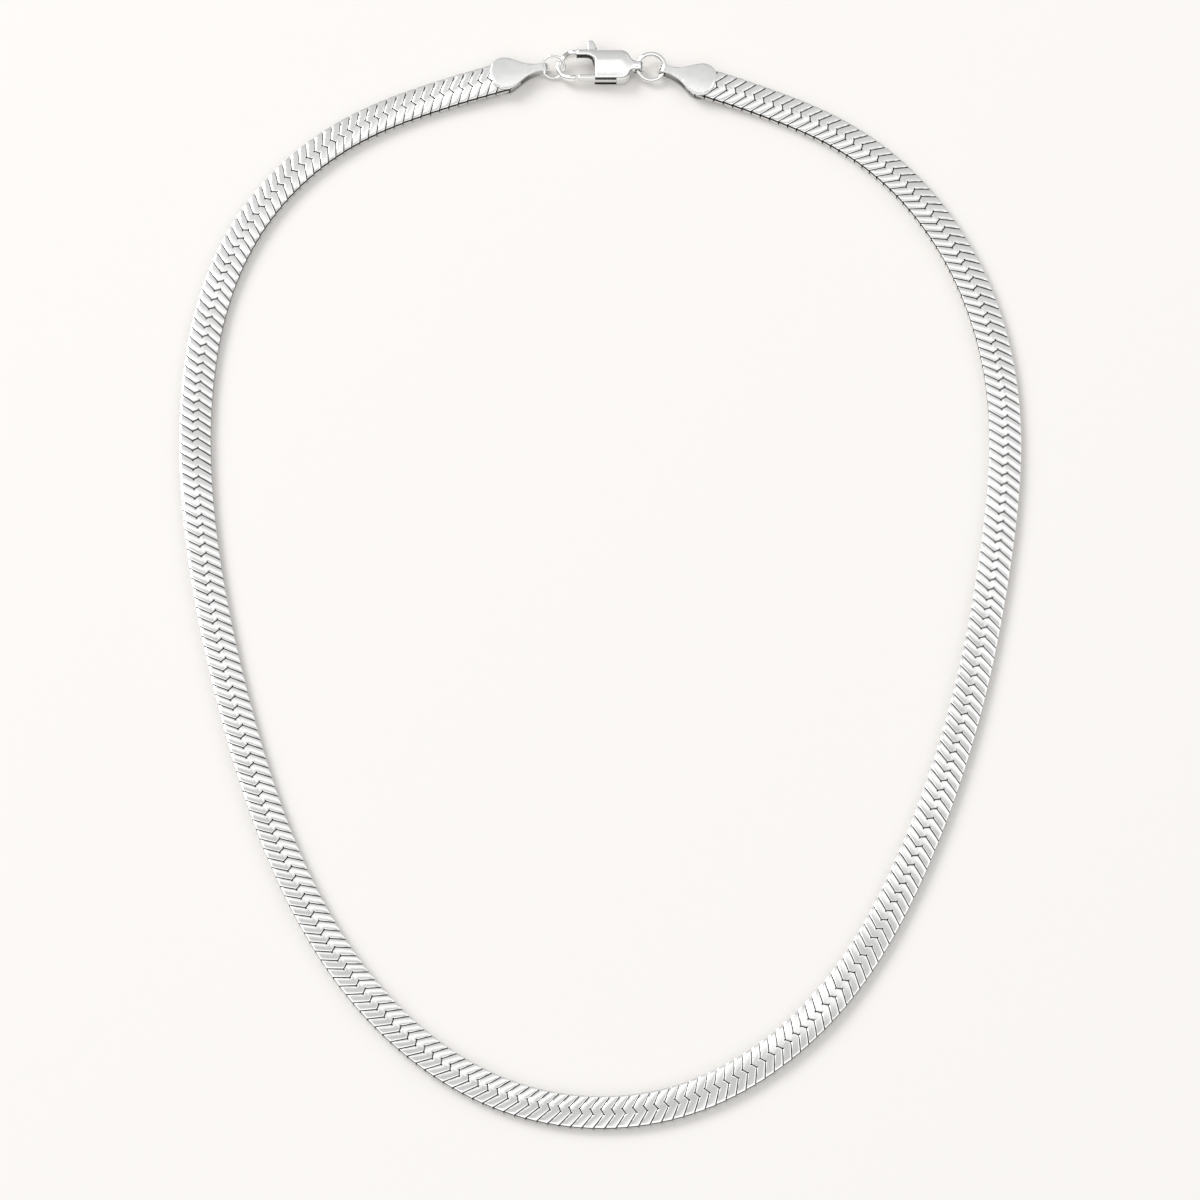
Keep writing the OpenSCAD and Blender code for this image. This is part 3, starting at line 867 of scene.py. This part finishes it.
def claw_hook():
    """The bent bar of the claw, from its rounded tip to a V groove next to the arm."""
    bm = bmesh.new()
    tip = claw_section(-90)
    arm = claw_section(90)
    loops = []
    for back, slim in CLAW_TIP_LOOPS:
        loops.append(claw_loop(bm, (Vector((CLAW_TIP_X - back, tip[0].y)), *tip[1:]), slim))
    loops += [claw_loop(bm, claw_section(-90 + 180 * i / CLAW_STEPS)) for i in range(CLAW_STEPS + 1)]
    groove = [(SEAM_X - SEAM_W / 2, 0.0), (SEAM_X, 2 * SEAM_D), (SEAM_X + SEAM_W / 2, 0.0),
              (CLAW_ROOT_X, 0.0)]
    for x, slim in groove:
        loops.append(claw_loop(bm, (Vector((x, arm[0].y)), *arm[1:]), slim))
    for a, b in zip(loops, loops[1:]):
        bmesh.ops.bridge_loops(bm, edges=a + b)
    for loop in (loops[0], loops[-1]):
        bmesh.ops.contextual_create(bm, geom=loop)
    bmesh.ops.recalc_face_normals(bm, faces=bm.faces)
    return bm


def cast_body():
    """The body with its rounded rim, its crowned face and the flat tail that it narrows to."""
    bm = slab(reversed(body_outline()), 0, CLASP_T)
    bmesh.ops.recalc_face_normals(bm, faces=bm.faces)
    rounded(bm, [e for e in bm.edges if is_level(e)], BODY_RIM, RIM_STEPS)
    for i in range(1, BODY_CUTS_X):
        scored(bm, (1, 0, 0), mix(ARM_X, TAIL_X, i / BODY_CUTS_X))
    for i in range(1, BODY_CUTS_Y):
        scored(bm, (0, 1, 0), mix(-CLASP_W / 2, CLASP_W / 2, i / BODY_CUTS_Y))
    for v in bm.verts:
        low, high = body_heights(v.co.x)
        bow = body_crown(v.co.y) * (high - low) / CLASP_T
        v.co.z = mix(low + bow, high - bow, v.co.z / CLASP_T)
    return bm


def gate_slot():
    """The room for the gate, with a thin curved wall left towards the jaw's corner."""
    slot = block(Vector((SLOT_FRONT_X, -CLASP_W, FACE_T)), Vector((SLOT_BACK_X, CLASP_W, CLASP_T - FACE_T)))
    corner = Vector((BODY_X - JAW_CORNER_R, ARM_Y - JAW_CORNER_R, CLASP_T / 2))
    wall = rod(JAW_CORNER_R + JAW_WALL, corner, 2 * CLASP_T, Matrix.Identity(4))
    low = Vector((-CLASP_T, -CLASP_W, -CLASP_T))
    high = Vector((CLASP_T, -JAW_WALL, CLASP_T))
    wall = joined(wall, block(corner + low, corner + high), "DIFFERENCE")
    return joined(slot, wall, "DIFFERENCE")


def gets_painted_shade(p):
    """True for a point on the walls of the slot or of the jaw, which get painted shade."""
    deep = FACE_T - TOUCH < p.z < CLASP_T - FACE_T + TOUCH and abs(p.y) < CLASP_W / 2 - 2 * TOUCH
    in_slot = deep and SLOT_FRONT_X - TOUCH < p.x < SLOT_BACK_X + TOUCH
    low = p.z < CLASP_T - 2 * BODY_RIM and p.y < ARM_Y + 2 * TOUCH
    return in_slot or low and ARM_X + 2 * TOUCH < p.x < BODY_X + 2 * TOUCH


def clasp_shell(silver, painted_shade):
    """The cast body with its arm and claw, the slot for the gate and the eye at its tail."""
    bm = joined(cast_body(), claw_hook(), "UNION")
    bm = joined(bm, gate_slot(), "DIFFERENCE")
    eye = rod(TAIL_HOLE_R, (TAIL_HOLE_X, 0, RING_Z), 2 * CLASP_W, Matrix.Rotation(math.pi / 2, 4, "X"))
    bm = joined(bm, eye, "DIFFERENCE")
    # The slot's walls and the jaw's walls take the near-black silver: painted shade
    for face in bm.faces:
        face.material_index = 1 if gets_painted_shade(face.calc_center_median()) else 0
    laid(bm)
    finished("clasp_shell", bm, [silver, painted_shade], "necklace", "clasp_body", crisp=38)


def gate_outline():
    """The gate's bar, its round hub and the thumb lever, as one outline."""
    heel_x = SLOT_BACK_X - HEEL_FIT
    points = [(GATE_TIP_X, GATE_Y), (heel_x, GATE_Y), (heel_x, PIVOT_Y)]
    points += arc(PIVOT_X, PIVOT_Y, GATE_HUB_R, 0, GATE_HUB_BACK)
    points += [(LEVER_ROOT_X + LEVER_ROOT_W, LEVER_ROOT_Y), (LEVER_TIP_X + LEVER_W, CLASP_W / 2)]
    points += arc(LEVER_TIP_X, LEVER_TIP_Y - LEVER_W / 2, LEVER_W / 2, LEVER_TIP_BACK, 180)
    points += [(LEVER_TIP_X - LEVER_W / 2, CLASP_W / 2), (LEVER_ROOT_X, LEVER_ROOT_Y)]
    return points + [(LEVER_ROOT_X, GATE_Y + GATE_BAR), (GATE_TIP_X, GATE_Y + GATE_BAR)]


def clasp_gate(silver, painted_shade):
    """The hinged bar with its thumb lever, cast in one."""
    bm = slab(gate_outline(), FACE_T + GATE_FIT, GATE_T)
    bmesh.ops.recalc_face_normals(bm, faces=bm.faces)
    rims = [e for e in bm.edges if is_level(e) or e.verts[0].co.x < GATE_TIP_X + TOUCH]
    rounded(bm, rims, GATE_RIM, RIM_STEPS)
    scored(bm, (1, 0, 0), GATE_PAINTED_SHADE_X)
    # The gate's upper front rim under the body's face takes the near-black silver: painted shade
    for face in bm.faces:
        p = face.calc_center_median()
        if p.x > GATE_PAINTED_SHADE_X and p.y < 0 and p.z > FACE_T + GATE_FIT + GATE_T - GATE_RIM:
            face.material_index = 1
    laid(bm)
    finished("clasp_gate_lever", bm, [silver, painted_shade], "gate", "clasp_gate")


# Studio

# Tones of the light tent, and how high it changes from one to the next
SKY_LOW = 0.08
SKY_SIDE = 0.45
SKY_HIGH = 1.18
SIDE_RISE = (0.15, 0.5)
HIGH_RISE = (0.45, 0.78)

# Two grey panels in the tent, placed by how far a direction leans away and sideways as it rises by 1
NEAR_TONE = 0.59
NEAR_START = (-0.05, 0.16)
NEAR_END = (0.26, 0.33)
NEAR_SIDE = (0.2, 0.36)
FAR_TONE = 0.70
FAR_LOW = 0.52
FAR_START = (0.38, 0.5)
FAR_SIDE = (0.5, 0.9)
FAR_FALL = (0.5, 1.1)
LEAST_UP = 0.05

# Lamp and floor in metres, camera in millimetres
KEY_POWER = 34.0
KEY_SIZE = 1.4
KEY_PLACE = (-1.5, 1.3, 1.8)
FLOOR_HALF = 3
FLOOR_DROP = 0.00002
CAMERA_PLACE = (-0.045, -260.54, 701.26)
CAMERA_AIM = (-0.045, -5.30, 0)
CAMERA_LENS = 150


def studio_sky():
    """A light tent: dark round the horizon, bright above, with a grey panel at the near and the far side."""
    world = bpy.data.worlds.new("studio")
    world.use_nodes = True
    tree = world.node_tree
    link = tree.links.new

    def put(value, socket):
        if isinstance(value, (int, float)):
            socket.default_value = value
        else:
            link(value, socket)

    def maths(kind, a, b):
        node = tree.nodes.new("ShaderNodeMath")
        node.operation = kind
        put(a, node.inputs[0])
        put(b, node.inputs[1])
        return node.outputs["Value"]

    def step(value, start, end, low, high):
        node = tree.nodes.new("ShaderNodeMapRange")
        node.interpolation_type = "SMOOTHSTEP"
        settings = {"Value": value, "From Min": start, "From Max": end, "To Min": low, "To Max": high}
        for name, setting in settings.items():
            put(setting, node.inputs[name])
        return node.outputs["Result"]

    way = tree.nodes.new("ShaderNodeTexCoord")
    parts = tree.nodes.new("ShaderNodeSeparateXYZ")
    link(way.outputs["Generated"], parts.inputs["Vector"])
    up = parts.outputs["Z"]
    tent = step(up, *SIDE_RISE, SKY_LOW, SKY_SIDE)
    tent = step(up, *HIGH_RISE, tent, SKY_HIGH)
    height = maths("MAXIMUM", up, LEAST_UP)
    sideways = maths("ABSOLUTE", maths("DIVIDE", parts.outputs["X"], height), 0)
    away = maths("DIVIDE", parts.outputs["Y"], height)
    far = maths("MULTIPLY", step(away, *FAR_START, 0.0, 1.0), step(sideways, *FAR_SIDE, 1.0, 0.0))
    far_tone = step(away, *FAR_FALL, FAR_TONE, FAR_LOW)
    near = maths("MULTIPLY", step(away, *NEAR_START, 0.0, 1.0), step(away, *NEAR_END, 1.0, 0.0))
    near = maths("MULTIPLY", near, step(sideways, *NEAR_SIDE, 1.0, 0.0))
    glow = step(near, 0.0, 1.0, tent, NEAR_TONE)
    glow = step(far, 0.0, 1.0, glow, far_tone)
    tree.nodes["Background"].inputs["Color"].default_value = (1, 1, 1, 1)
    link(glow, tree.nodes["Background"].inputs["Strength"])
    return world


def pale_floor():
    """The pale matt surface that the necklace lies on."""
    bm = bmesh.new()
    bmesh.ops.create_grid(bm, x_segments=1, y_segments=1, size=FLOOR_HALF)
    bmesh.ops.translate(bm, vec=(0, 0, -FLOOR_DROP), verts=bm.verts)
    mesh = bpy.data.meshes.new("floor")
    bm.to_mesh(mesh)
    bm.free()
    floor = bpy.data.objects.new("floor", mesh)
    bpy.context.scene.collection.objects.link(floor)
    paper = bpy.data.materials.new("pale_floor")
    paper.use_nodes = True
    shader = paper.node_tree.nodes["Principled BSDF"]
    shader.inputs["Base Color"].default_value = (0.90, 0.878, 0.85, 1)
    shader.inputs["Roughness"].default_value = 0.9
    shader.inputs["Specular IOR Level"].default_value = 0.1
    mesh.materials.append(paper)


def aimed(name, data, place, aim):
    """Puts a lamp or a camera at its place, looking at the aim."""
    thing = bpy.data.objects.new(name, data)
    thing.location = place
    thing.rotation_euler = (aim - thing.location).to_track_quat("-Z", "Y").to_euler()
    bpy.context.scene.collection.objects.link(thing)
    return thing


def left_key():
    """A soft light from above, behind and the left."""
    lamp = bpy.data.lights.new("left_key", "AREA")
    lamp.shape = "RECTANGLE"
    lamp.size = KEY_SIZE
    lamp.size_y = KEY_SIZE
    lamp.energy = KEY_POWER
    aimed("left_key", lamp, KEY_PLACE, Vector((0, 0, 0)))


def photo_camera():
    """The camera that sees the necklace as the photo does."""
    camera = bpy.data.cameras.new("photo_camera")
    camera.lens = CAMERA_LENS
    camera.sensor_width = 36
    camera.clip_start = 0.05
    camera.clip_end = 10
    place = Vector(CAMERA_PLACE) * MM
    bpy.context.scene.camera = aimed("photo_camera", camera, place, Vector(CAMERA_AIM) * MM)


def studio():
    pale_floor()
    bpy.context.scene.world = studio_sky()
    left_key()
    photo_camera()
    bpy.context.scene.view_settings.view_transform = "Standard"


def necklace():
    """Every piece in its place, and the pin's metal on the pin."""
    polish = polish_marks_group()
    # Near-black silver, painted where shade falls in the seams and hollows
    painted_shade = painted_shade_silver_material(polish)
    band = band_silver_material(satin_lines_group())
    cap = polished_silver_material("cap_silver", (0.93, 0.93, 0.92), polish, 900.0, 0.22, 0.12)
    # A darker copy of the cap's silver: painted shade inside the caps' folds
    cap_inside_shade = polished_silver_material("cap_inside_painted_shade", (0.5, 0.49, 0.48), polish, 900.0, 0.5, 0.35)
    ring = polished_silver_material("ring_silver", (0.93, 0.93, 0.92), polish, 1200.0, 0.14, 0.06)
    clasp = polished_silver_material("clasp_silver", (0.94, 0.94, 0.93), polish, 900.0, 0.14, 0.07)
    pin_metal = polished_silver_material("pin_silver", (0.8, 0.8, 0.79), polish, 2500.0, 0.4, 0.25)
    herringbone_links(band, painted_shade)
    folded_cap("folded_cap_right", cap, cap_inside_shade, "end_cap_right", RING_X, -CAP_TURN_RIGHT, RIGHT_FOLD)
    folded_cap("folded_cap_left", cap, cap_inside_shade, "end_cap_left", JUMP_X, 180 + CAP_TURN_LEFT, LEFT_FOLD)
    wire_ring("clasp_ring_wire", ring, "clasp_ring", RING_R, RING_WIRE, RING_X, RING_TILT)
    wire_ring("jump_ring_wire", ring, "jump_ring", JUMP_R, JUMP_WIRE, JUMP_X, JUMP_TILT)
    clasp_shell(clasp, painted_shade)
    clasp_gate(clasp, painted_shade)
    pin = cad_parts["clasp_pin"]
    pin.data.materials.clear()
    pin.data.materials.append(pin_metal)


necklace()
studio()
